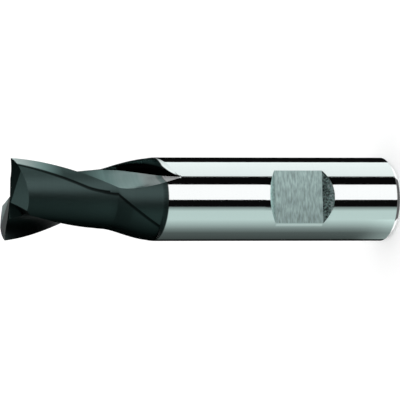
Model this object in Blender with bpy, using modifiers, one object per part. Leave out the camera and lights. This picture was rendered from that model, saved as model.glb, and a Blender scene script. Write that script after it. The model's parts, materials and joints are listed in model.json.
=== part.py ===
"""Slot drill with two helical flutes on a plain round shank that has one clamping flat.

The tool stands on the end of its shank: Z is its axis, the cutting end is at the top, and the
clamping flat faces -Y. Depths are measured down from the tip. Everything is ground from one
round blank, as the real tool is: two flutes, the relief behind each end tooth, the gash in
front of each end tooth, and the flat. Lengths are in metres and angles in degrees.
"""

import math

import bmesh
import bpy
from mathutils import Matrix, Vector

# Blank
OVERALL_LENGTH = 0.079
CUTTING_DIAMETER = 0.016
EDGE_UNDERSIZE = 0.00004
SHANK_DIAMETER = 0.016
HEAD_LENGTH = 0.030
NECK_LENGTH = 0.001
SHANK_CHAMFER = 0.00105

# Clamping flat on the shank
FLAT_LENGTH = 0.010
FLAT_ACROSS = 0.0142
FLAT_HEIGHT = 0.0210
FLAT_WALL_ANGLE = 45.0

# Helix and lengths along the axis
TEETH = 2
HELIX_LEAD = 0.112
CUTTING_LENGTH = 0.0197
RUNOUT_LENGTH = 0.0134
SWEEP_LENGTH = 0.0042
TOOTH_ANGLE = -14.8

# Flute section: angles ahead of the cutting edge, radii as shares of the cutting radius
RAKE_ANGLE = 10.0
CREASE_ANGLE = 74.0
CREASE_RADIUS = 0.65
CORE_TAPER = 0.05
RAKE_PULL = 0.73
CREASE_PULL = 0.39
CREASE_LEAN = 31.0
LAND_ANGLE = 19.5
LAND_RELIEF = 0.00028
EXIT_ANGLE = 58.7
EXIT_WIDTH_ANGLE = 1.5
EXIT_RISE = 0.02
EDGE_TURN_POWER = 1.3
CREASE_RISE_POWER = 5.0
HEEL_SWEEP_POWER = 1.9
BACK_BULGE_POWER = 2.0
BACK_SPACING_GAIN = 1.2

# The land narrows to the end of the cutting edge, and widens again along the run-out
LAND_TAPER_LENGTH = 0.0065
LAND_WAIST_ANGLE = 7.0
LAND_SWEEP_ANGLE = 25.0
LAND_TAPER_POWER = 1.6
LAND_SWEEP_POWER = 0.75

# The heel rises from the relieved land to the full radius around the end of the cutting edge
HEEL_RISE_START = CUTTING_LENGTH - 0.001
HEEL_RISE_LENGTH = 0.004

# End teeth
END_DISH_ANGLE = 3.2
PRIMARY_RELIEF_ANGLE = 7.0
PRIMARY_LAND_WIDTH = 0.0007
SECONDARY_RELIEF_ANGLE = 14.3
SECONDARY_TILT_ANGLE = 7.1
GASH_RADIUS = 0.00435
GASH_DEPTH = 0.0036
GASH_CENTRE_GAP = 0.0004
GASH_LEAN_ANGLES = (30.0, 0.0)

# Fineness of the mesh
ROUND_STEPS = 112
STATION_STEP = 0.0009
SWEEP_STATION_STEP = 0.00028
RAKE_STEPS = 10
BACK_STEPS = 11
LAND_STEPS = 6
LAND_SPACING_POWER = 1.5
GASH_STEPS = 56
SHARP_ANGLE = 25.0

# How far a cutter reaches past what it cuts
OVERCUT = 0.0015
EDGE_OVERCUT = 0.00002
HEEL_OVERCUT = 0.00006
LAND_OVERCUT = 1.25
CLEAR_SHARE = 1.12
OUTER_SHARE = 1.25
OUTER_STEPS = 4
MERGE_DISTANCE = 0.000002

cutting_radius = CUTTING_DIAMETER / 2
edge_radius = cutting_radius - EDGE_UNDERSIZE / 2
shank_radius = SHANK_DIAMETER / 2
shank_length = OVERALL_LENGTH - HEAD_LENGTH
flute_length = CUTTING_LENGTH + RUNOUT_LENGTH
pitch_angle = 360.0 / TEETH

COATED_STEEL = {"colour": (0.045, 0.052, 0.053), "roughness": 0.33, "metallic": 0.9}
POLISHED_STEEL = {"colour": (0.72, 0.75, 0.75), "roughness": 0.12, "metallic": 1.0}


def clear_scene():
    for item in list(bpy.data.objects):
        bpy.data.objects.remove(item, do_unlink=True)


def new_collection(name):
    collection = bpy.data.collections.new(name)
    bpy.context.scene.collection.children.link(collection)
    return collection


def new_material(name, look):
    material = bpy.data.materials.new(name)
    material.use_nodes = True
    shader = material.node_tree.nodes["Principled BSDF"]
    shader.inputs["Base Color"].default_value = (*look["colour"], 1.0)
    shader.inputs["Roughness"].default_value = look["roughness"]
    shader.inputs["Metallic"].default_value = look["metallic"]
    return material


def new_object(name, mesh, collection):
    item = bpy.data.objects.new(name, mesh)
    collection.objects.link(item)
    return item


def mesh_from(bm, name):
    """A cutter's mesh, in triangles because a helical face isn't flat"""
    bmesh.ops.recalc_face_normals(bm, faces=bm.faces)
    bmesh.ops.triangulate(bm, faces=bm.faces)
    mesh = bpy.data.meshes.new(name)
    bm.to_mesh(mesh)
    bm.free()
    return mesh


def polar(angle, radius):
    turn = math.radians(angle)
    return Vector((radius * math.cos(turn), radius * math.sin(turn)))


def mix(start, end, share):
    return start + (end - start) * share


def share_of(value, start, end):
    """Where a value lies between two others, from 0 to 1"""
    return min(max((value - start) / (end - start), 0.0), 1.0)


def blank(collection):
    """The round blank: its half outline, from the middle of the tip down, turned about Z"""
    outline = [
        (0.0, OVERALL_LENGTH),
        (cutting_radius, OVERALL_LENGTH),
        (cutting_radius, shank_length + NECK_LENGTH),
        (shank_radius, shank_length),
        (shank_radius, SHANK_CHAMFER),
        (shank_radius - SHANK_CHAMFER, 0.0),
        (0.0, 0.0),
    ]
    mesh = bpy.data.meshes.new("slot_drill")
    points = [(x, 0.0, z) for x, z in outline]
    mesh.from_pydata(points, [(i, i + 1) for i in range(len(points) - 1)], [])
    body = new_object("slot_drill", mesh, collection)
    turned = body.modifiers.new("turned blank", "SCREW")
    turned.steps = ROUND_STEPS
    turned.render_steps = ROUND_STEPS
    turned.use_merge_vertices = True
    turned.merge_threshold = MERGE_DISTANCE
    return body


def land_angle(depth):
    """Width of the land behind a cutting edge, and of the round wall left beside the run-out"""
    waist = share_of(depth, CUTTING_LENGTH - LAND_TAPER_LENGTH, CUTTING_LENGTH)
    if waist < 1.0:
        return mix(LAND_ANGLE, LAND_WAIST_ANGLE, waist**LAND_TAPER_POWER)
    growth = share_of(depth, CUTTING_LENGTH, flute_length - SWEEP_LENGTH)
    return mix(LAND_WAIST_ANGLE, LAND_SWEEP_ANGLE, growth**LAND_SWEEP_POWER)


def section_corners(depth):
    """Angles of the edge, crease and heel, and the crease's share of the radius"""
    runout = share_of(depth, CUTTING_LENGTH, flute_length)
    edge = EXIT_ANGLE * runout**EDGE_TURN_POWER
    crease = mix(CREASE_ANGLE, EXIT_ANGLE, runout)
    core = CREASE_RADIUS + CORE_TAPER * share_of(depth, 0.0, CUTTING_LENGTH)
    crease_share = mix(core, 1.0 + EXIT_RISE, runout**CREASE_RISE_POWER)
    sweep = share_of(depth, flute_length - SWEEP_LENGTH, flute_length)
    closing = 1.0 - (1.0 - sweep) ** HEEL_SWEEP_POWER
    heel = mix(pitch_angle - land_angle(depth), EXIT_ANGLE, closing)
    crease = max(crease, edge + EXIT_WIDTH_ANGLE)
    return edge, crease, max(heel, crease + EXIT_WIDTH_ANGLE), crease_share


def rake_curve(edge, crease, depth):
    """Hollow face from the cutting edge down to the crease"""
    lift = 1.0 - share_of(depth, CUTTING_LENGTH, flute_length)
    chord = (crease - edge).length
    edge_turn = math.degrees(math.atan2(edge.y, edge.x)) + 180.0 + RAKE_ANGLE
    crease_turn = math.degrees(math.atan2(crease.y, crease.x)) + 180.0 + CREASE_LEAN
    near_edge = edge + polar(edge_turn, RAKE_PULL * chord * lift)
    near_crease = crease + polar(crease_turn, CREASE_PULL * chord * lift)
    points = []
    for step in range(RAKE_STEPS):
        t = step / RAKE_STEPS
        first = edge.lerp(near_edge, t)
        middle = near_edge.lerp(near_crease, t)
        last = near_crease.lerp(crease, t)
        points.append(first.lerp(middle, t).lerp(middle.lerp(last, t), t))
    return points


def flute_section(depth):
    """Closed outline of what one flute removes at a depth, with its cutting edge on +X"""
    edge, crease, heel, crease_share = section_corners(depth)
    crease_radius = cutting_radius * crease_share
    past_edge = share_of(depth, CUTTING_LENGTH, CUTTING_LENGTH + OVERCUT)
    past_exit = max(depth - flute_length, 0.0)
    widest = max(cutting_radius, shank_radius)
    overrun = mix(LAND_OVERCUT, 1.0, past_edge)
    heel_rise = share_of(depth, HEEL_RISE_START, HEEL_RISE_START + HEEL_RISE_LENGTH)
    heel_radius = mix(edge_radius - LAND_RELIEF, cutting_radius + HEEL_OVERCUT, heel_rise)
    edge_point = polar(edge, cutting_radius + EDGE_OVERCUT)
    points = rake_curve(edge_point, polar(crease, crease_radius), depth)
    runout = share_of(depth, CUTTING_LENGTH, flute_length)
    bulge = (1.0 - runout) ** BACK_BULGE_POWER
    for step in range(BACK_STEPS + 1):
        along = (step / BACK_STEPS) ** (1.0 + BACK_SPACING_GAIN * runout)
        radius = mix(crease_radius, heel_radius, along**bulge)
        points.append(polar(mix(crease, heel, along), radius))
    for step in range(1, LAND_STEPS + 1):
        along = overrun * (step / LAND_STEPS) ** LAND_SPACING_POWER
        angle = mix(heel, pitch_angle + edge, along)
        land_radius = edge_radius - LAND_RELIEF * (1.0 - along)
        points.append(polar(angle, mix(land_radius, widest * CLEAR_SHARE, past_edge)))
    for step in range(OUTER_STEPS + 1):
        angle = edge + pitch_angle * (1.0 - step / OUTER_STEPS)
        points.append(polar(angle, widest * OUTER_SHARE))
    turn = Matrix.Rotation(math.radians(-360.0 * depth / HELIX_LEAD), 2)
    return [turn @ (p * (1.0 + past_exit / cutting_radius)) for p in points]


def stations():
    """Depths of the flute's sections, closer together where the run-out sweeps in"""
    sweep_start = flute_length - SWEEP_LENGTH
    straight = math.ceil((sweep_start + OVERCUT) / STATION_STEP)
    depths = [mix(-OVERCUT, sweep_start, i / straight) for i in range(straight)]
    sweep_steps = math.ceil(SWEEP_LENGTH / SWEEP_STATION_STEP)
    for i in range(sweep_steps + 1):
        depths.append(mix(sweep_start, flute_length, math.sin(i / sweep_steps * math.pi / 2)))
    return [*depths, flute_length + OVERCUT]


def flute_cutter(tooth, collection):
    """One flute as a loft through its sections"""
    bm = bmesh.new()
    half_turn = Matrix.Rotation(math.radians(pitch_angle * tooth), 2)
    rings = []
    for depth in stations():
        ring = [half_turn @ p for p in flute_section(depth)]
        rings.append([bm.verts.new((p.x, p.y, OVERALL_LENGTH - depth)) for p in ring])
    for upper, lower in zip(rings, rings[1:]):
        for i in range(len(upper)):
            j = (i + 1) % len(upper)
            bm.faces.new((upper[i], upper[j], lower[j], lower[i]))
    bm.faces.new(rings[0])
    bm.faces.new(rings[-1])
    name = f"flute_cutter_{tooth + 1}"
    return new_object(name, mesh_from(bm, name), collection)


def half_block(name, tooth, depth_at, collection):
    """A block behind a tooth's lip, above the sloping plane that depth_at gives"""
    reach = cutting_radius * OUTER_SHARE
    bm = bmesh.new()
    bmesh.ops.create_cube(bm, size=2.0)
    side = 1.0 if tooth == 0 else -1.0
    for vert in bm.verts:
        along = vert.co.x * reach
        behind = (1.0 - vert.co.y) / 2 * reach
        top = vert.co.z > 0
        depth = -OVERCUT if top else depth_at(along, behind)
        vert.co = (side * along, -side * behind, OVERALL_LENGTH - depth)
    return new_object(name, mesh_from(bm, name), collection)


def primary_depth(along, behind):
    """End face just behind a lip: hollow towards the axis, falling away behind the lip"""
    dish = math.tan(math.radians(END_DISH_ANGLE)) * (cutting_radius - along)
    return dish + math.tan(math.radians(PRIMARY_RELIEF_ANGLE)) * behind


def secondary_depth(along, behind):
    """Steeper plane that clears the end behind the primary land"""
    start = primary_depth(0.0, PRIMARY_LAND_WIDTH)
    fall = math.tan(math.radians(SECONDARY_RELIEF_ANGLE)) * (behind - PRIMARY_LAND_WIDTH)
    return start + fall - math.tan(math.radians(SECONDARY_TILT_ANGLE)) * along


def gash_cutter(tooth, collection):
    """The wheel's cut that opens the web in front of a lip, flat on the lip's plane

    The first tooth's cut leans across the centre, so that only the second tooth cuts there.
    """
    width = cutting_radius * OUTER_SHARE
    bm = bmesh.new()
    bmesh.ops.create_cone(
        bm, cap_ends=True, segments=GASH_STEPS, radius1=GASH_RADIUS, radius2=GASH_RADIUS, depth=width
    )
    side = 1.0 if tooth == 0 else -1.0
    centre_along = GASH_CENTRE_GAP + GASH_RADIUS
    centre_height = OVERALL_LENGTH - GASH_DEPTH + GASH_RADIUS
    lean = math.tan(math.radians(GASH_LEAN_ANGLES[tooth]))
    for vert in bm.verts:
        ahead = 0.0 if vert.co.z < 0 else width
        along = centre_along + vert.co.x - lean * ahead
        vert.co = (side * along, side * ahead, centre_height + vert.co.y)
    name = f"gash_cutter_{tooth + 1}"
    return new_object(name, mesh_from(bm, name), collection)


def flat_cutter(collection):
    """Prism that leaves the clamping flat, with sloping walls at both its ends"""
    face = FLAT_ACROSS - shank_radius
    rise = shank_radius * OUTER_SHARE - face
    spread = rise / math.tan(math.radians(FLAT_WALL_ANGLE))
    half = FLAT_LENGTH / 2
    outline = [
        (-face, FLAT_HEIGHT - half),
        (-face, FLAT_HEIGHT + half),
        (-face - rise, FLAT_HEIGHT + half + spread),
        (-face - rise, FLAT_HEIGHT - half - spread),
    ]
    bm = bmesh.new()
    reach = shank_radius * OUTER_SHARE
    verts = [bm.verts.new((-reach, y, z)) for y, z in outline]
    side = bm.faces.new(verts)
    pulled = bmesh.ops.extrude_face_region(bm, geom=[side])["geom"]
    moved = [item for item in pulled if isinstance(item, bmesh.types.BMVert)]
    bmesh.ops.translate(bm, verts=moved, vec=(2 * reach, 0.0, 0.0))
    cutter = new_object("flat_cutter", mesh_from(bm, "flat_cutter"), collection)
    cutter.rotation_euler.z = math.radians(-TOOTH_ANGLE)
    return cutter


def grind(body, cutters):
    """Leave the shapes of all the cutters out of the blank in one step, and hide them"""
    ground = body.modifiers.new("ground", "BOOLEAN")
    ground.operation = "DIFFERENCE"
    ground.solver = "EXACT"
    ground.operand_type = "COLLECTION"
    ground.collection = cutters
    for cutter in cutters.objects:
        cutter.hide_render = True
        cutter.display_type = "WIRE"


def finish_body(body, materials):
    """Keep the ground shape as a plain mesh, coated above the shank, with its edges sharp"""
    depsgraph = bpy.context.evaluated_depsgraph_get()
    mesh = bpy.data.meshes.new_from_object(body.evaluated_get(depsgraph))
    body.modifiers.clear()
    mesh.materials.clear()
    for material in materials:
        mesh.materials.append(material)
    for face in mesh.polygons:
        face.material_index = 0 if face.center.z > shank_length else 1
    mesh.shade_smooth()
    mesh.set_sharp_from_angle(angle=math.radians(SHARP_ANGLE))
    mesh.name = "slot_drill"
    body.data = mesh


def build():
    clear_scene()
    parts = new_collection("slot_drill_part")
    cutters = new_collection("slot_drill_cutters")
    body = blank(parts)
    flat_cutter(cutters)
    for tooth in range(TEETH):
        flute_cutter(tooth, cutters)
        half_block(f"primary_cutter_{tooth + 1}", tooth, primary_depth, cutters)
        half_block(f"secondary_cutter_{tooth + 1}", tooth, secondary_depth, cutters)
        gash_cutter(tooth, cutters)
    grind(body, cutters)
    coated = new_material("coated_steel", COATED_STEEL)
    polished = new_material("polished_steel", POLISHED_STEEL)
    finish_body(body, [coated, polished])
    for item in (body, *cutters.objects):
        item.rotation_euler.z += math.radians(TOOTH_ANGLE)


build()
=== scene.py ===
"""Looks of the slot drill: its ground surfaces and finishes, with floor, cards, light and camera."""

import json
import math

import bmesh
import bpy
from mathutils import Matrix, Vector

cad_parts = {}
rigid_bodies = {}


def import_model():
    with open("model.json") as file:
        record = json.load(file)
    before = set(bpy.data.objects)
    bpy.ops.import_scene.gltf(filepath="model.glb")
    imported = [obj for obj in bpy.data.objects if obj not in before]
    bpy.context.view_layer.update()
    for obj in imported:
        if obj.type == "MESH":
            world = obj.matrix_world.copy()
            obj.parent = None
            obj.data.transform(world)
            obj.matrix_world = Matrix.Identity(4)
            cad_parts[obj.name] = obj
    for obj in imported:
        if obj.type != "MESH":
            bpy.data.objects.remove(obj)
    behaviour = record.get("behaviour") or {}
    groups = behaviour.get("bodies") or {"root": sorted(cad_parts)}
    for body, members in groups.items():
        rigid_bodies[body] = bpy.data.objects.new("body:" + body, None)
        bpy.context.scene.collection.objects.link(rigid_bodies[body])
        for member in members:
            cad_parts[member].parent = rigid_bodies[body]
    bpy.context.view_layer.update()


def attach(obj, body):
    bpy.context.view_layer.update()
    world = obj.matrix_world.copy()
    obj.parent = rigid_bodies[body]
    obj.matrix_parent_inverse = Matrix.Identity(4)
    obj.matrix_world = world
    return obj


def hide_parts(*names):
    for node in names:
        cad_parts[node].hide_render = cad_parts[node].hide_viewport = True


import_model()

# Sizes of the tool, in metres and degrees
OVERALL_LENGTH = 0.079
TOOL_RADIUS = 0.008
COATED_LENGTH = 0.030
SHANK_CHAMFER = 0.00105
FLAT_LENGTH = 0.010
FLAT_DEPTH = 0.0018
FLAT_HEIGHT = 0.0210
TOOTH_ANGLE = -14.8
CUTTING_LENGTH = 0.0197
RUNOUT_LENGTH = 0.0134
TIP_EXTRA = 0.0003

# Inputs of the node tree that makes the fluted surface
FLUTE_INPUTS = {
    "Overall length": OVERALL_LENGTH,
    "Radius": TOOL_RADIUS,
    "Teeth": 2,
    "Helix lead": 0.112,
    "Cutting length": CUTTING_LENGTH,
    "Run-out length": RUNOUT_LENGTH,
    "Sweep length": 0.0042,
    "Shank chamfer": SHANK_CHAMFER,
    "Tip extra": TIP_EXTRA,
    "Rake angle": 10.0,
    "Rake pull": 0.73,
    "Crease angle": 74.0,
    "Crease share": 0.65,
    "Crease pull": 0.39,
    "Crease lean": 31.0,
    "Core taper": 0.05,
    "Land angle": 19.5,
    "Land relief": 0.00028,
    "Land taper length": 0.0065,
    "Land waist angle": 7.0,
    "Land sweep angle": 25.0,
    "Heel rise lead": 0.001,
    "Heel rise length": 0.004,
    "Exit angle": 58.7,
    "Exit width angle": 1.5,
    "Exit rise": 0.02,
}
EDGE_TURN_POWER = 1.3
CREASE_RISE_POWER = 5.0
HEEL_SWEEP_POWER = 1.9
LAND_TAPER_POWER = 1.6
LAND_SWEEP_POWER = 0.75
BACK_BULGE_POWER = 2.0
BACK_SPACING_GAIN = 1.2
RAKE_COLUMNS = 16
BACK_COLUMNS = 16
LAND_COLUMNS = 56
HEAD_ROWS = 190
SHANK_ROWS = 24
SHARP_ANGLE = 15.0
MERGE_DISTANCE = 2e-6

# End teeth
END_DISH_ANGLE = 3.2
PRIMARY_RELIEF_ANGLE = 7.0
PRIMARY_LAND_WIDTH = 0.0007
SECONDARY_RELIEF_ANGLE = 14.3
SECONDARY_TILT_ANGLE = 7.1
GASH_RADIUS = 0.00435
GASH_DEPTH = 0.0036
GASH_CENTRE_GAP = 0.0004
GASH_LEAN_ANGLES = (30.0, 0.0)
GASH_SEGMENTS = 160
OVERCUT = 0.0015
REACH = 0.010

# Finishes: the dark coating of the head ends at a height, with a streaked band and a thin line
COATING_BOUNDARY = OVERALL_LENGTH - COATED_LENGTH
COATING_RAGGED = 0.00006
COATING_EDGE = 0.00004
COATING_BAND = 0.0012
COATING_LINE = 0.00016
BAND_SHADES = (0.2, 0.7)
BAND_POWER = 4.0
LINE_SHADE = 0.8
COAT_TINT = (0.66, 1.0, 0.97)
COAT_RINGS = (0.94, 1.06)
PALE_START = 0.2
PALE_GAIN = 5.0
PALE_LIMIT = 0.6
BARE_COLOUR = (0.74, 0.76, 0.76)
BARE_RINGS = (0.985, 1.015)
BARE_ROUGHNESS = (0.045, 0.065)

# Grinding marks: waves in each metre, or in each radian round the tool
STREAK_WAVES = (26.0, 2000.0, 40.0)
RING_WAVES = (60.0, 60.0, 9000.0)
RAKE_WAVES = (300.0, 300.0, 2500.0)
BACK_WAVES = (2500.0, 2500.0, 300.0)
END_WAVES = (4000.0, 900.0, 900.0)
FLAT_WAVES = (600.0, 0.0, 2600.0)
WALL_WAVES = (2600.0, 2600.0, 2600.0)
FLAT_DETAIL = 4.0
MARK_ROUGHNESS = 0.06

# Round surface: the lands are lighter towards the tip, and painted shade makes a dark line along the
# heel
SHANK_COAT_TONE = 0.062
LAND_FADE_START = 0.070
LAND_TIP_TONE = 0.42
LAND_ROUGHNESS = (0.38, 0.3)
# Painted shade along the heel: a dark line on the land and on the flute's back
HEEL_SHADE_ANGLE = 3.0
HEEL_SHADE_END = 0.061
HEEL_SHADE_SHARPNESS = 2.0
LAND_LINE_SHADE = 0.92
# Painted highlight: a light line on the land beside the flat
FLAT_EDGE_HIGHLIGHT_PLACE = 0.0054
FLAT_EDGE_HIGHLIGHT_WIDTH = 0.0003
FLAT_EDGE_HIGHLIGHT_GAIN = 0.45

# Rake faces, from the tip to where the run-out leaves the coating
RAKE_TONE = 0.25
# Painted shade: the rake darkens towards the tip
RAKE_TIP_SHADE_TONE = 0.02
RAKE_FADE = (0.0645, 0.057)
RAKE_MARKS = (0.9, 1.1)
RAKE_ROUGHNESS = 0.27
# Painted highlight: towards the exit the rake is lighter, rougher and less metallic
RAKE_EXIT = (0.0535, 0.0500)
RAKE_EXIT_HIGHLIGHT_TONE = 0.42
RAKE_EXIT_METALLIC = 0.35
RAKE_EXIT_ROUGHNESS = 0.5

# Backs of the flutes: painted shade on a heel line that grows to a band, and deep in the run-out
BACK_TONE = 0.062
BACK_MARKS = (0.94, 1.06)
BACK_ROUGHNESS = 0.38
BACK_EDGE_TINT = 0.1
BACK_LINE_SHADE = 0.8
# Painted shade along the heel on the backs, widening to a band lower down
HEEL_SHADE_BAND_ANGLE = 6.0
HEEL_SHADE_BAND_TOP = 0.063
HEEL_SHADE_BAND_GROWTH = 0.005
# Painted shade deep in the run-out: the coat darkens inside a radius that grows downwards
SHADE_RADIUS = 0.0064
SHADE_HEIGHT = 0.0572
SHADE_SLOPE = 0.19
SHADE_EDGE = 0.0002
SHADE_FADE = 0.0008
SHADE_STRENGTH = 0.97
# Painted shade on the run-out's bare wall: black inside this rim
RIM_RADIUS = 0.00787
RIM_SLOPE = 0.063
RIM_FADE = 0.00003

# End faces: tones of the one coat set to the light on each, with painted shade towards a corner
LIP_TONE = 0.02
LIP_ROUGHNESS = 0.32
LIP_EDGE_TINT = 0.46
END_TONE = 0.1
END_ROUGHNESS = 0.36
END_EDGE_TINT = 0.36
END_MARKS = (0.85, 1.15)
GASH_TONE = 0.025
CORNER_SHADE = 0.55

# Clamping flat, and the walls at both its ends, with painted light across the flat and on the head's
# wall
FLAT_MARK_DEPTH = 0.000012
# Painted reflection: the flat's tone rises from one side to the other
FLAT_TONES = (0.28, 0.44)
FLAT_TINT = (0.76, 1.0, 0.97)
FLAT_STREAKS = (0.1, 1.9)
FLAT_ROUGHNESS = (0.36, 0.46)
WALL_START = 0.00003
WALL_SPECKLES = (-0.8, 1.6)
WALL_SPECKLE_LIMITS = (0.1, 1.0)
WALL_GAINS = (1.05, 1.65)
WALL_RIM_TONE = 0.35
WALL_ROUGHNESS = 0.55
# Painted light: the wall towards the head is lighter than the other
HEAD_WALL_LIT_TONE = 0.42
HEAD_WALL_LIT_SHARE = 0.7

# Floor: its tone, and what is added for the camera so that it is just white
FLOOR_TONE = 0.8
FLOOR_LIFT = 0.32
FLOOR_ROUGHNESS = 0.9
FLOOR_REACH = 6.0

# Camera
CAMERA_AZIMUTH = -4.3
CAMERA_ELEVATION = 23.9
CAMERA_DISTANCE = 2.5
CAMERA_LENS = 1175.0
CAMERA_AIM = (-0.00015, 0.0, 0.03898)
CAMERA_SENSOR = 36.0
CAMERA_CLIP = (0.1, 30.0)

# Cards round the tool that the metal mirrors: bottom and top, angles from the camera at both
# sides, tones at both sides, and how green the card is
CARD_DISTANCE = 0.45
CARD_STEP = 4.0
CARD_TINT = (0.79, 1.0, 0.955)
CARDS = [
    (-0.25, 0.16, -180.0, -148.0, 0.0, 0.0, 0.0),
    (-0.31, -0.07, -148.0, -107.0, 0.065, 0.125, 1.0),
    (-0.31, -0.07, -107.0, -90.0, 0.12, 0.28, 1.0),
    (-0.31, -0.07, -90.0, -70.0, 0.28, 0.60, 1.0),
    (-0.31, -0.07, -70.0, -58.0, 0.60, 0.80, 1.0),
    (-0.31, -0.07, -58.0, -32.0, 0.80, 0.78, 1.0),
    (-0.31, -0.07, -32.0, -20.5, 0.76, 0.20, 1.0),
    (-0.07, 0.16, -148.0, -100.0, 0.0, 0.04, 1.0),
    (-0.07, 0.16, -100.0, -20.5, 0.20, 0.25, 1.0),
    (-0.31, 0.16, -20.5, -1.4, 0.004, 0.004, 0.0),
    (-0.31, -0.07, -1.4, 40.6, 1.29, 1.29, 0.0),
    (-0.07, 0.16, -1.4, 41.0, 2.4, 2.0, 0.0),
    (-0.31, -0.07, 40.6, 65.0, 0.003, 0.003, 0.0),
    (-0.31, -0.07, 65.0, 123.7, 1.10, 1.22, 0.35),
    (-0.25, -0.13, 123.7, 180.0, 0.006, 0.0, 0.0),
    (-0.07, 0.16, 41.0, 123.7, 1.2, 1.2, 0.3),
    (-0.13, 0.16, 123.7, 150.0, 1.2, 1.2, 0.3),
    (-0.13, 0.16, 150.0, 184.0, 5.0, 5.0, 0.0),
    (0.16, 1.8, -125.0, 125.0, 0.0, 0.0, 0.0),
    (0.16, 1.8, 125.0, 235.0, 0.7, 0.7, 0.3),
    (-1.6, -0.31, -120.0, -30.0, 0.0, 0.0, 0.0),
    (-1.6, -0.31, 30.0, 120.0, 0.5, 0.5, 0.3),
    (-0.42, -0.31, -30.0, 30.0, 0.0, 0.0, 0.0),
    (-1.6, -0.42, -30.0, -10.0, 0.0, 0.0, 0.0),
    (-1.6, -0.42, -10.0, 30.0, 2.9, 2.9, 0.0),
    (-0.55, -0.25, 120.0, 240.0, 1.2, 1.2, 0.0),
    (-1.6, -0.55, 120.0, 240.0, 0.15, 0.15, 0.0),
]

# Low strips in front of four of the cards: the table's glow in the lowest stretch of the shank
FOOT_CARDS = CARDS[1:5]
FOOT_BOTTOM = -0.206
FOOT_TOP = -0.1963
FOOT_GLOW = 0.36
FOOT_DISTANCE = 0.449


def polar(angle, radius):
    turn = math.radians(angle)
    return Vector((radius * math.cos(turn), radius * math.sin(turn)))


class Field:
    """A number in a node tree that is reckoned with like an ordinary one"""

    def __init__(self, tree, socket):
        self.tree = tree
        self.socket = socket

    def math(self, operation, *others):
        node = self.tree.nodes.new("ShaderNodeMath")
        node.operation = operation
        for socket, value in zip(node.inputs, (self, *others)):
            if isinstance(value, Field):
                self.tree.links.new(value.socket, socket)
            else:
                socket.default_value = value
        return Field(self.tree, node.outputs[0])

    def __add__(self, other):
        return self.math("ADD", other)

    def __sub__(self, other):
        return self.math("SUBTRACT", other)

    def __mul__(self, other):
        return self.math("MULTIPLY", other)

    def __truediv__(self, other):
        return self.math("DIVIDE", other)

    def __rtruediv__(self, other):
        return self.math("POWER", -1.0) * other

    def __pow__(self, other):
        return self.math("POWER", other)

    def __neg__(self):
        return self * -1.0

    __radd__ = __add__
    __rmul__ = __mul__

    def __rsub__(self, other):
        return -self + other

    def clamp(self, low, high):
        return self.math("MAXIMUM", low).math("MINIMUM", high)

    def more(self, other):
        return self.math("GREATER_THAN", other)

    def cos(self):
        return self.math("RADIANS").math("COSINE")

    def sin(self):
        return self.math("RADIANS").math("SINE")


def mix(start, end, share):
    return start + (end - start) * share


def share_of(value, start, end):
    """Where a field lies between two others, from 0 to 1"""
    return ((value - start) / (end - start)).clamp(0.0, 1.0)


def circle_point(angle, radius):
    return angle.cos() * radius, angle.sin() * radius


def link_node(tree, kind, **inputs):
    """A new node with its inputs linked or set by name"""
    node = tree.nodes.new(kind)
    for name, value in inputs.items():
        socket = node.inputs[name.replace("_", " ")]
        if isinstance(value, Field):
            tree.links.new(value.socket, socket)
        elif isinstance(value, bpy.types.NodeSocket):
            tree.links.new(value, socket)
        else:
            socket.default_value = value
    return node


def heel_angle(given, depth):
    """Angle of a flute's heel, ahead of the cutting edge, at a depth below the tip"""
    cutting = given["Cutting length"]
    flute = cutting + given["Run-out length"]
    waist = share_of(depth, cutting - given["Land taper length"], cutting)
    growth = share_of(depth, cutting, flute - given["Sweep length"])
    narrowed = mix(given["Land angle"], given["Land waist angle"], waist**LAND_TAPER_POWER)
    widened = (given["Land sweep angle"] - given["Land waist angle"]) * growth**LAND_SWEEP_POWER
    sweep = share_of(depth, flute - given["Sweep length"], flute)
    closing = 1.0 - (1.0 - sweep) ** HEEL_SWEEP_POWER
    return mix(360.0 / given["Teeth"] - narrowed - widened, given["Exit angle"], closing)


def past_heel(x, y, z):
    """Degrees from the nearest flute's heel to a point, more than 0 on the land"""
    pitch = 360.0 / FLUTE_INPUTS["Teeth"]
    depth = OVERALL_LENGTH - z
    turned = y.math("ARCTAN2", x) * (180.0 / math.pi) - TOOTH_ANGLE
    ahead = turned + depth * (360.0 / FLUTE_INPUTS["Helix lead"]) - heel_angle(FLUTE_INPUTS, depth)
    return (ahead + pitch / 2).math("FLOORED_MODULO", pitch) - pitch / 2


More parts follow.
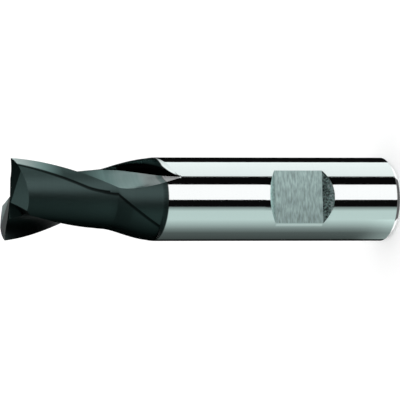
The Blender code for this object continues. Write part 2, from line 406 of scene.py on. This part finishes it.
def section_point(given, depth, column):
    """X and Y of a column's point, with the cutting edge on +X before the helix turns it"""
    radius = given["Radius"]
    pitch = 360.0 / given["Teeth"]
    cutting = given["Cutting length"]
    flute = cutting + given["Run-out length"]
    runout = share_of(depth, cutting, flute)
    lift = 1.0 - runout
    edge = given["Exit angle"] * runout**EDGE_TURN_POWER
    crease = mix(given["Crease angle"], given["Exit angle"], runout)
    crease = crease.math("MAXIMUM", edge + given["Exit width angle"])
    heel = heel_angle(given, depth).math("MAXIMUM", crease + given["Exit width angle"])
    core = given["Crease share"] + given["Core taper"] * share_of(depth, 0.0, cutting)
    rise = mix(core, 1.0 + given["Exit rise"], runout**CREASE_RISE_POWER)
    crease_radius = (radius * rise).math("MINIMUM", radius)
    rise_start = cutting - given["Heel rise lead"]
    heel_rise = share_of(depth, rise_start, rise_start + given["Heel rise length"])
    heel_radius = radius - given["Land relief"] * (1.0 - heel_rise)

    edge_x, edge_y = circle_point(edge, radius)
    crease_x, crease_y = circle_point(crease, crease_radius)
    span_x, span_y = crease_x - edge_x, crease_y - edge_y
    chord = (span_x * span_x + span_y * span_y) ** 0.5
    pull = given["Rake pull"] * chord * lift
    lean = given["Crease pull"] * chord * lift
    pull_x, pull_y = circle_point(edge + 180.0 + given["Rake angle"], pull)
    lean_x, lean_y = circle_point(crease + 180.0 + given["Crease lean"], lean)
    t = (column / RAKE_COLUMNS).clamp(0.0, 1.0)
    u = 1.0 - t
    start, near, far, end = u * u * u, u * u * t * 3.0, u * t * t * 3.0, t * t * t
    rake_x = start * edge_x + near * (edge_x + pull_x) + far * (crease_x + lean_x) + end * crease_x
    rake_y = start * edge_y + near * (edge_y + pull_y) + far * (crease_y + lean_y) + end * crease_y

    back = ((column - RAKE_COLUMNS) / BACK_COLUMNS).clamp(0.0, 1.0)
    back = back ** (1.0 + BACK_SPACING_GAIN * runout)
    bulged = back ** (lift**BACK_BULGE_POWER)
    back_x, back_y = circle_point(mix(crease, heel, back), mix(crease_radius, heel_radius, bulged))
    land = ((column - RAKE_COLUMNS - BACK_COLUMNS) / LAND_COLUMNS).clamp(0.0, 1.0)
    land_x, land_y = circle_point(mix(heel, pitch + edge, land), mix(heel_radius, radius, land))
    on_back = column.more(RAKE_COLUMNS + 0.5)
    on_land = column.more(RAKE_COLUMNS + BACK_COLUMNS + 0.5)
    x = mix(mix(rake_x, back_x, on_back), land_x, on_land)
    y = mix(mix(rake_y, back_y, on_back), land_y, on_land)
    inside = (radius / (x * x + y * y + 1e-12) ** 0.5).math("MINIMUM", 1.0)
    return x * inside, y * inside


def flute_tree(materials):
    """Node tree of the fluted tool: one tooth's share of the surface, then a copy for each tooth"""
    tree = bpy.data.node_groups.new("fluted_tool", "GeometryNodeTree")
    tree.interface.new_socket("Geometry", in_out="OUTPUT", socket_type="NodeSocketGeometry")
    for name, value in FLUTE_INPUTS.items():
        kind = "NodeSocketInt" if name == "Teeth" else "NodeSocketFloat"
        socket = tree.interface.new_socket(name, in_out="INPUT", socket_type=kind)
        socket.default_value = value
    group = tree.nodes.new("NodeGroupInput")
    given = {name: Field(tree, group.outputs[name]) for name in FLUTE_INPUTS}
    given["Teeth"] = given["Teeth"] + 0.0
    radius = given["Radius"]
    flute = given["Cutting length"] + given["Run-out length"]
    chamfer = given["Shank chamfer"]

    columns = RAKE_COLUMNS + BACK_COLUMNS + LAND_COLUMNS + 1
    rows = HEAD_ROWS + SHANK_ROWS + 4
    grid = link_node(tree, "GeometryNodeMeshGrid", Vertices_X=rows, Vertices_Y=columns)
    index = Field(tree, tree.nodes.new("GeometryNodeInputIndex").outputs[0])
    row = ((index + 0.5) / columns).math("FLOOR")
    column = index - row * columns
    head_step = (flute + given["Tip extra"]) / HEAD_ROWS
    shank_step = (given["Overall length"] - chamfer - flute) / SHANK_ROWS
    in_head = (row - 1.0).clamp(0.0, HEAD_ROWS)
    in_shank = (row - 1.0 - HEAD_ROWS).clamp(0.0, SHANK_ROWS)
    in_chamfer = (row - 1.0 - HEAD_ROWS - SHANK_ROWS).clamp(0.0, 1.0)
    depth = in_head * head_step + in_shank * shank_step + in_chamfer * chamfer - given["Tip extra"]
    x, y = section_point(given, depth, column)
    outside_pole = row.more(0.5) * (1.0 - row.more(rows - 1.5))
    scale = outside_pole * (1.0 - in_chamfer * chamfer / radius)
    turn = depth.math("MINIMUM", flute) / given["Helix lead"] * -360.0
    turned_x = (x * turn.cos() - y * turn.sin()) * scale
    turned_y = (x * turn.sin() + y * turn.cos()) * scale
    place = link_node(
        tree, "ShaderNodeCombineXYZ", X=turned_x, Y=turned_y, Z=given["Overall length"] - depth
    )
    share = link_node(
        tree,
        "GeometryNodeSetPosition",
        Geometry=grid.outputs["Mesh"],
        Position=place.outputs[0],
    )
    face_row = ((index + 0.5) / (columns - 1.0)).math("FLOOR")
    face_column = index - face_row * (columns - 1.0)
    in_head_rows = (HEAD_ROWS + 0.5 - face_row).more(0.0)
    in_rake = (RAKE_COLUMNS - 0.5 - face_column).more(0.0) * in_head_rows
    in_back = (RAKE_COLUMNS + BACK_COLUMNS - 0.5 - face_column).more(0.0) * in_head_rows - in_rake
    covered = link_node(tree, "GeometryNodeSetMaterial", Geometry=share.outputs[0])
    covered.inputs["Material"].default_value = materials["round"]
    for name, chosen in (("rake", in_rake), ("back", in_back)):
        covered = link_node(
            tree, "GeometryNodeSetMaterial", Geometry=covered.outputs[0], Selection=chosen.more(0.5)
        )
        covered.inputs["Material"].default_value = materials[name]

    points = link_node(tree, "GeometryNodePoints", Count=given["Teeth"].socket)
    tooth_turn = index * (math.tau / given["Teeth"].math("MAXIMUM", 1.0))
    rotation = link_node(tree, "ShaderNodeCombineXYZ", Z=tooth_turn)
    copies = link_node(
        tree,
        "GeometryNodeInstanceOnPoints",
        Points=points.outputs[0],
        Instance=covered.outputs[0],
        Rotation=rotation.outputs[0],
    )
    real = link_node(tree, "GeometryNodeRealizeInstances", Geometry=copies.outputs[0])
    closed = link_node(
        tree,
        "GeometryNodeMergeByDistance",
        Geometry=real.outputs[0],
        Distance=MERGE_DISTANCE,
    )
    in_triangles = link_node(tree, "GeometryNodeTriangulate", Mesh=closed.outputs[0])
    out = tree.nodes.new("NodeGroupOutput")
    tree.links.new(in_triangles.outputs[0], out.inputs[0])
    return tree


def solid_of(item):
    """The evaluated shape of an object as a plain mesh"""
    depsgraph = bpy.context.evaluated_depsgraph_get()
    return bpy.data.meshes.new_from_object(item.evaluated_get(depsgraph))


def new_object(name, mesh):
    item = bpy.data.objects.new(name, mesh)
    bpy.context.scene.collection.objects.link(item)
    return item


def fluted_tool(materials):
    """The blank with its flutes, before the end teeth and the clamping flat are ground"""
    tree = flute_tree(materials)
    item = new_object("fluted_tool", bpy.data.meshes.new("fluted_tool"))
    modifier = item.modifiers.new("flutes", "NODES")
    modifier.node_group = tree
    for socket in tree.interface.items_tree:
        if socket.in_out == "INPUT":
            modifier[socket.identifier] = FLUTE_INPUTS[socket.name]
    mesh = solid_of(item)
    item.modifiers.clear()
    bm = bmesh.new()
    bm.from_mesh(mesh)
    bmesh.ops.recalc_face_normals(bm, faces=bm.faces)
    bm.to_mesh(mesh)
    bm.free()
    item.data = mesh
    return item


def cutter(bm, name, material):
    """A closed shape to take off the tool, with the material of the face it leaves"""
    bmesh.ops.recalc_face_normals(bm, faces=bm.faces)
    bmesh.ops.triangulate(bm, faces=bm.faces)
    mesh = bpy.data.meshes.new(name)
    bm.to_mesh(mesh)
    bm.free()
    mesh.materials.append(material)
    return bpy.data.objects.new(name, mesh)


def primary_depth(along, behind):
    """Depth below the tip of the plane just behind a lip, from the axis outwards and backwards"""
    dish = math.tan(math.radians(END_DISH_ANGLE)) * (TOOL_RADIUS - along)
    return dish + math.tan(math.radians(PRIMARY_RELIEF_ANGLE)) * behind


def secondary_depth(along, behind):
    """Depth of the steeper plane that follows the narrow one"""
    start = primary_depth(0.0, PRIMARY_LAND_WIDTH)
    fall = math.tan(math.radians(SECONDARY_RELIEF_ANGLE)) * (behind - PRIMARY_LAND_WIDTH)
    return start + fall - math.tan(math.radians(SECONDARY_TILT_ANGLE)) * along


def half_block(name, side, depth_at, material):
    """Block behind a tooth's lip, above a sloping plane"""
    bm = bmesh.new()
    bmesh.ops.create_cube(bm, size=2.0)
    for vert in bm.verts:
        along = vert.co.x * REACH
        behind = (1.0 - vert.co.y) / 2 * REACH
        depth = -OVERCUT if vert.co.z > 0 else depth_at(along, behind)
        vert.co = (side * along, -side * behind, OVERALL_LENGTH - depth)
    return cutter(bm, name, material)


def gash(name, side, lean_angle, material):
    """Round-edged wheel that opens the web in front of a lip"""
    bm = bmesh.new()
    bmesh.ops.create_cone(
        bm,
        cap_ends=True,
        segments=GASH_SEGMENTS,
        radius1=GASH_RADIUS,
        radius2=GASH_RADIUS,
        depth=REACH,
    )
    for vert in bm.verts:
        ahead = 0.0 if vert.co.z < 0 else REACH
        lean = math.tan(math.radians(lean_angle)) * ahead
        along = GASH_CENTRE_GAP + GASH_RADIUS + vert.co.x - lean
        height = OVERALL_LENGTH - GASH_DEPTH + GASH_RADIUS + vert.co.y
        vert.co = (side * along, side * ahead, height)
    return cutter(bm, name, material)


def flat_prism(material):
    """Prism of the clamping flat with its walls at 45 degrees"""
    face = TOOL_RADIUS - FLAT_DEPTH
    rise = REACH - face
    half = FLAT_LENGTH / 2
    outline = [
        (-face, FLAT_HEIGHT - half),
        (-face, FLAT_HEIGHT + half),
        (-face - rise, FLAT_HEIGHT + half + rise),
        (-face - rise, FLAT_HEIGHT - half - rise),
    ]
    bm = bmesh.new()
    ends = [[bm.verts.new((x, y, z)) for y, z in outline] for x in (-REACH, REACH)]
    for end in ends:
        bm.faces.new(end)
    for i in range(len(outline)):
        j = (i + 1) % len(outline)
        bm.faces.new((ends[0][i], ends[0][j], ends[1][j], ends[1][i]))
    bmesh.ops.rotate(bm, verts=bm.verts, matrix=Matrix.Rotation(math.radians(-TOOTH_ANGLE), 3, "Z"))
    return cutter(bm, "flat_prism", material)


def drop_empty_slots(mesh):
    """Leave out the material slots that hold nothing"""
    indices = [0] * len(mesh.polygons)
    mesh.polygons.foreach_get("material_index", indices)
    kept = [i for i, material in enumerate(mesh.materials) if material]
    materials = [mesh.materials[i] for i in kept]
    mesh.materials.clear()
    for material in materials:
        mesh.materials.append(material)
    mesh.polygons.foreach_set("material_index", [kept.index(i) for i in indices])


def ground_tool(materials):
    """The fluted surface with its end teeth and its clamping flat ground in one step"""
    item = fluted_tool(materials)
    cutters = bpy.data.collections.new("cutters")
    bpy.context.scene.collection.children.link(cutters)
    for number, side in ((1, 1.0), (2, -1.0)):
        cutters.objects.link(half_block(f"primary_{number}", side, primary_depth, materials["primary"]))
        cutters.objects.link(half_block(f"secondary_{number}", side, secondary_depth, materials["end"]))
        lean = GASH_LEAN_ANGLES[number - 1]
        cutters.objects.link(gash(f"gash_{number}", side, lean, materials["gash"]))
    cutters.objects.link(flat_prism(materials["flat"]))
    ground = item.modifiers.new("ground", "BOOLEAN")
    ground.operation = "DIFFERENCE"
    ground.solver = "EXACT"
    ground.operand_type = "COLLECTION"
    ground.collection = cutters
    ground.material_mode = "TRANSFER"
    mesh = solid_of(item)
    item.modifiers.clear()
    for thing in list(cutters.objects):
        bpy.data.objects.remove(thing, do_unlink=True)
    bpy.data.collections.remove(cutters)
    bpy.data.objects.remove(item, do_unlink=True)
    drop_empty_slots(mesh)
    mesh.transform(Matrix.Rotation(math.radians(TOOTH_ANGLE), 4, "Z"))
    mesh.shade_smooth()
    mesh.set_sharp_from_angle(angle=math.radians(SHARP_ANGLE))
    mesh.name = "slot_drill_body"
    return new_object("slot_drill_body", mesh)


def noise(tree, point, waves, detail=2.0):
    """Noise from 0 to 1 at a point, with its own number of waves for each coordinate"""
    x, y, z = (value * count for value, count in zip(point, waves))
    place = link_node(tree, "ShaderNodeCombineXYZ", X=x, Y=y, Z=z)
    made = link_node(tree, "ShaderNodeTexNoise", Vector=place.outputs[0], Scale=1.0, Detail=detail)
    return Field(tree, made.outputs[0])


def bumped(tree, height, distance):
    """Normal of a surface with fine marks of the given depth"""
    return link_node(tree, "ShaderNodeBump", Height=height, Distance=distance, Strength=1.0).outputs[0]


def start_steel(name):
    """A steel material, its tree and shader, and the object's X, Y and Z in it"""
    material = bpy.data.materials.new(name)
    material.use_nodes = True
    tree = material.node_tree
    shader = tree.nodes["Principled BSDF"]
    shader.inputs["Metallic"].default_value = 1.0
    coordinates = tree.nodes.new("ShaderNodeTexCoord")
    split = link_node(tree, "ShaderNodeSeparateXYZ", Vector=coordinates.outputs["Object"])
    return material, tree, shader, [Field(tree, output) for output in split.outputs]


def set_look(tree, shader, colour, roughness):
    """Link a colour of three numbers and a roughness to the shader"""
    joined = link_node(tree, "ShaderNodeCombineColor", Red=colour[0], Green=colour[1], Blue=colour[2])
    tree.links.new(joined.outputs[0], shader.inputs["Base Color"])
    tree.links.new(roughness.socket, shader.inputs["Roughness"])


def coated_steel(name, coat_of, edge_tint=1.0, metallic_of=None):
    """Steel coated above the shank; coat_of gives the coat's tone and roughness, and a factor of
    painted shade and highlight
    """
    material, tree, shader, (x, y, z) = start_steel(name)
    radius = (x * x + y * y) ** 0.5
    streaks = noise(tree, (y.math("ARCTAN2", x), radius, z), STREAK_WAVES)
    rings = noise(tree, (x, y, z), RING_WAVES)
    above = z - COATING_BOUNDARY + (streaks - 0.5) * COATING_RAGGED
    coated = (above / COATING_EDGE).clamp(0.0, 1.0)
    band = coated * (1.0 - (above / COATING_BAND).clamp(0.0, 1.0) ** BAND_POWER)
    line = (1.0 - (above / COATING_LINE).math("ABSOLUTE")).clamp(0.0, 1.0)
    tone, coat_roughness, shade = coat_of(tree, x, y, z, radius)
    # the shade factor from coat_of is painted shade and painted highlight
    tone = tone * shade * (1.0 - band * mix(*BAND_SHADES, streaks)) * mix(*COAT_RINGS, rings)
    clean = shade * (1.0 - line * LINE_SHADE) * mix(*BARE_RINGS, rings)
    paleness = ((tone - PALE_START) * PALE_GAIN).clamp(0.0, PALE_LIMIT)
    tints = [mix(tint, 1.0, paleness) for tint in COAT_TINT]
    colour = [mix(bare * clean, tone * tint, coated) for bare, tint in zip(BARE_COLOUR, tints)]
    set_look(tree, shader, colour, mix(mix(*BARE_ROUGHNESS, rings), coat_roughness, coated))
    shader.inputs["Specular Tint"].default_value = (edge_tint, edge_tint, edge_tint, 1.0)
    if metallic_of:
        tree.links.new(metallic_of(z).socket, shader.inputs["Metallic"])
    return material


def round_coat(tree, x, y, z, radius):
    """Lighter lands towards the tip, painted shade along the heel, and a painted highlight beside the
    flat
    """
    near_tip = share_of(z, LAND_FADE_START, OVERALL_LENGTH)
    # painted shade: a dark line along the heel
    off_line = past_heel(x, y, z).math("ABSOLUTE") / HEEL_SHADE_ANGLE
    beside = ((1.0 - off_line) * HEEL_SHADE_SHARPNESS).clamp(0.0, 1.0)
    beside = beside * (z - HEEL_SHADE_END).more(0.0)
    tone = mix(SHANK_COAT_TONE, LAND_TIP_TONE, near_tip)
    # painted highlight: a light line beside the flat, along its length
    edge_highlight = (1.0 - (x + FLAT_EDGE_HIGHLIGHT_PLACE).math("ABSOLUTE") / FLAT_EDGE_HIGHLIGHT_WIDTH).clamp(0.0, 1.0)
    along = ((FLAT_LENGTH / 2 - (z - FLAT_HEIGHT).math("ABSOLUTE")) / FLAT_EDGE_HIGHLIGHT_WIDTH).clamp(0.0, 1.0)
    bright = 1.0 + edge_highlight * along * (-y).more(0.0) * FLAT_EDGE_HIGHLIGHT_GAIN
    return tone * (1.0 - beside * LAND_LINE_SHADE), mix(*LAND_ROUGHNESS, near_tip), bright


def to_exit(z):
    """0 in the flute and 1 where its run-out leaves the coating"""
    return share_of(z, *RAKE_EXIT)


def rake_coat(tree, x, y, z, radius):
    """Painted shade makes it darkest at the tip; towards the exit a painted highlight makes it lighter
    """
    marks = noise(tree, (x, y, z), RAKE_WAVES)
    # painted shade towards the tip, painted highlight towards the exit
    inner_tone = mix(RAKE_TIP_SHADE_TONE, RAKE_TONE, share_of(z, *RAKE_FADE))
    tone = mix(inner_tone, RAKE_EXIT_HIGHLIGHT_TONE, to_exit(z)) * mix(*RAKE_MARKS, marks)
    roughness = mix(RAKE_ROUGHNESS + marks * MARK_ROUGHNESS, RAKE_EXIT_ROUGHNESS, to_exit(z))
    return tone, roughness, 1.0


def rake_metallic(z):
    return mix(1.0, RAKE_EXIT_METALLIC, to_exit(z))


def back_coat(tree, x, y, z, radius):
    """Painted shade along the heel and deep in the run-out, whose bare wall is painted black up to a
    bright rim
    """
    marks = noise(tree, (x, y, z), BACK_WAVES)
    # painted shade deep in the run-out, and black on its bare wall inside the rim
    limit = SHADE_RADIUS + (SHADE_HEIGHT - z) * SHADE_SLOPE
    below = ((SHADE_HEIGHT - z) / SHADE_FADE).clamp(0.0, 1.0)
    deep = ((limit - radius) / SHADE_EDGE).clamp(0.0, 1.0) * below
    # painted shade along the heel, growing to a band lower down
    grown = ((HEEL_SHADE_BAND_TOP - z) / HEEL_SHADE_BAND_GROWTH).clamp(0.0, 1.0)
    off_line = past_heel(x, y, z) / mix(HEEL_SHADE_ANGLE, HEEL_SHADE_BAND_ANGLE, grown)
    beside = ((1.0 + off_line) * HEEL_SHADE_SHARPNESS).clamp(0.0, 1.0)
    tone = BACK_TONE * (1.0 - beside * BACK_LINE_SHADE) * mix(*BACK_MARKS, marks)
    rim = RIM_RADIUS + (COATING_BOUNDARY - z) * RIM_SLOPE
    inside = ((rim - radius) / RIM_FADE).clamp(0.0, 1.0)
    bare = (COATING_BOUNDARY - z).more(0.0)
    shade = 1.0 - mix(deep * SHADE_STRENGTH, inside, bare)
    return tone, BACK_ROUGHNESS + marks * MARK_ROUGHNESS, shade


def end_coat(tone, roughness):
    """Coat of an end face, with painted shade towards the corner of the first tooth"""

    def coat(tree, x, y, z, radius):
        marks = noise(tree, (x, y, z), END_WAVES)
        fall = 1.0 - (x / TOOL_RADIUS).clamp(0.0, 1.0) * CORNER_SHADE
        return tone * fall * mix(*END_MARKS, marks), roughness + marks * MARK_ROUGHNESS, 1.0

    return coat


def flat_steel():
    """Flat with marks of the wheel across the axis, rough walls at both ends, and painted light across
    it and on one wall
    """
    material, tree, shader, (x, y, z) = start_steel("flat_steel")
    streaks = noise(tree, (x, y, z), FLAT_WAVES, FLAT_DETAIL)
    grains = noise(tree, (x, y, z), WALL_WAVES, FLAT_DETAIL)
    on_wall = ((z - FLAT_HEIGHT).math("ABSOLUTE") - FLAT_LENGTH / 2).more(WALL_START)
    across = share_of(x, -TOOL_RADIUS, TOOL_RADIUS)
    outer = share_of(-y, TOOL_RADIUS - FLAT_DEPTH, TOOL_RADIUS)
    # painted reflection: lighter from one side of the flat to the other
    face_tone = mix(*FLAT_TONES, across) * mix(*FLAT_STREAKS, streaks)
    speckles = mix(*WALL_SPECKLES, grains).clamp(*WALL_SPECKLE_LIMITS)
    # painted light: the wall towards the head is lighter
    lit_head_wall = (z - FLAT_HEIGHT).more(0.0)
    rough_tone = mix(speckles, HEAD_WALL_LIT_TONE, lit_head_wall * HEAD_WALL_LIT_SHARE)
    wall_tone = rough_tone * mix(*WALL_GAINS, outer) + outer * outer * WALL_RIM_TONE
    tone = mix(face_tone, wall_tone, on_wall)
    roughness = mix(mix(*FLAT_ROUGHNESS, streaks), WALL_ROUGHNESS, on_wall)
    set_look(tree, shader, [tone * tint for tint in FLAT_TINT], roughness)
    height = mix(streaks, grains, on_wall)
    tree.links.new(bumped(tree, height, FLAT_MARK_DEPTH), shader.inputs["Normal"])
    return material


# Each ground face has its own tone of the one coating, set to the light it catches: lit and shaded
# copies, painted light and shade
def tool_materials():
    return {
        "round": coated_steel("ground_steel", round_coat),
        "rake": coated_steel("coated_rake", rake_coat, metallic_of=rake_metallic),
        "back": coated_steel("coated_back", back_coat, BACK_EDGE_TINT),
        "primary": coated_steel("coated_lip", end_coat(LIP_TONE, LIP_ROUGHNESS), LIP_EDGE_TINT),
        "end": coated_steel("coated_end", end_coat(END_TONE, END_ROUGHNESS), END_EDGE_TINT),
        "gash": coated_steel("coated_gash", end_coat(GASH_TONE, END_ROUGHNESS)),
        "flat": flat_steel(),
    }


def emission_material(name, tone_attribute):
    material = bpy.data.materials.new(name)
    material.use_nodes = True
    tree = material.node_tree
    tree.nodes.clear()
    tone = tree.nodes.new("ShaderNodeAttribute")
    tone.attribute_name = tone_attribute
    glow = tree.nodes.new("ShaderNodeEmission")
    out = tree.nodes.new("ShaderNodeOutputMaterial")
    tree.links.new(tone.outputs["Color"], glow.inputs["Color"])
    tree.links.new(glow.outputs[0], out.inputs[0])
    return material


def card(name, row, material, distance=CARD_DISTANCE, glow=0.0):
    """Curved card beside the tool, seen only in the metal, with a glow at its bottom"""
    bottom, top, start, end, tone_start, tone_end, greenness = row
    steps = math.ceil(abs(end - start) / CARD_STEP)
    verts, tones = [], []
    for i in range(steps + 1):
        spot = polar(CAMERA_AZIMUTH - 90.0 + mix(start, end, i / steps), distance)
        tone = mix(tone_start, tone_end, i / steps)
        for z, level in ((bottom, tone + glow), (top, tone)):
            verts.append((spot.x, spot.y, z))
            tones.extend([level * mix(1.0, tint, greenness) for tint in CARD_TINT])
            tones.append(1.0)
    faces = [(2 * i, 2 * i + 2, 2 * i + 3, 2 * i + 1) for i in range(steps)]
    mesh = bpy.data.meshes.new(name)
    mesh.from_pydata(verts, [], faces)
    attribute = mesh.attributes.new("tone", "FLOAT_COLOR", "POINT")
    attribute.data.foreach_set("color", tones)
    mesh.materials.append(material)
    item = new_object(name, mesh)
    item.visible_camera = False
    item.visible_diffuse = False
    item.visible_shadow = False
    item.visible_transmission = False


def floor():
    """Pale floor that the camera sees white, with the tool's shadow kept"""
    mesh = bpy.data.meshes.new("floor")
    sides = ((-1.0, -1.0), (1.0, -1.0), (1.0, 1.0), (-1.0, 1.0))
    corners = [(x * FLOOR_REACH, y * FLOOR_REACH, 0.0) for x, y in sides]
    mesh.from_pydata(corners, [], [(0, 1, 2, 3)])
    material = bpy.data.materials.new("floor")
    material.use_nodes = True
    tree = material.node_tree
    shader = tree.nodes["Principled BSDF"]
    shader.inputs["Base Color"].default_value = (FLOOR_TONE, FLOOR_TONE, FLOOR_TONE, 1.0)
    shader.inputs["Roughness"].default_value = FLOOR_ROUGHNESS
    shader.inputs["Specular IOR Level"].default_value = 0.0
    path = tree.nodes.new("ShaderNodeLightPath")
    glow = tree.nodes.new("ShaderNodeMath")
    glow.operation = "MULTIPLY"
    glow.inputs[1].default_value = FLOOR_LIFT
    tree.links.new(path.outputs["Is Camera Ray"], glow.inputs[0])
    shader.inputs["Emission Color"].default_value = (1.0, 1.0, 1.0, 1.0)
    tree.links.new(glow.outputs[0], shader.inputs["Emission Strength"])
    mesh.materials.append(material)
    item = new_object("floor", mesh)
    item.visible_glossy = False


def world():
    made = bpy.data.worlds.new("studio")
    bpy.context.scene.world = made
    made.use_nodes = True
    background = made.node_tree.nodes["Background"]
    background.inputs["Color"].default_value = (1.0, 1.0, 1.0, 1.0)
    background.inputs["Strength"].default_value = 1.0


def camera():
    azimuth, elevation = math.radians(CAMERA_AZIMUTH), math.radians(CAMERA_ELEVATION)
    level = math.cos(elevation)
    back = Vector((math.sin(azimuth) * level, -math.cos(azimuth) * level, math.sin(elevation)))
    up = Vector((math.cos(azimuth), math.sin(azimuth), 0.0))
    right = up.cross(back)
    data = bpy.data.cameras.new("camera")
    data.sensor_width = CAMERA_SENSOR
    data.lens = CAMERA_LENS
    data.clip_start, data.clip_end = CAMERA_CLIP
    item = new_object("camera", data)
    turned = Matrix((right, up, back)).transposed().to_4x4()
    item.matrix_world = Matrix.Translation(Vector(CAMERA_AIM) + back * CAMERA_DISTANCE) @ turned
    bpy.context.scene.camera = item


def build():
    body = ground_tool(tool_materials())
    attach(body, "root")
    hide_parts("slot_drill")
    glow = emission_material("card_glow", "tone")
    for number, row in enumerate(CARDS):
        card(f"card_{number}", row, glow)
    for number, row in enumerate(FOOT_CARDS):
        card(f"foot_card_{number}", (FOOT_BOTTOM, FOOT_TOP, *row[2:]), glow, FOOT_DISTANCE, FOOT_GLOW)
    floor()
    world()
    camera()
    bpy.context.scene.view_settings.view_transform = "Standard"


build()
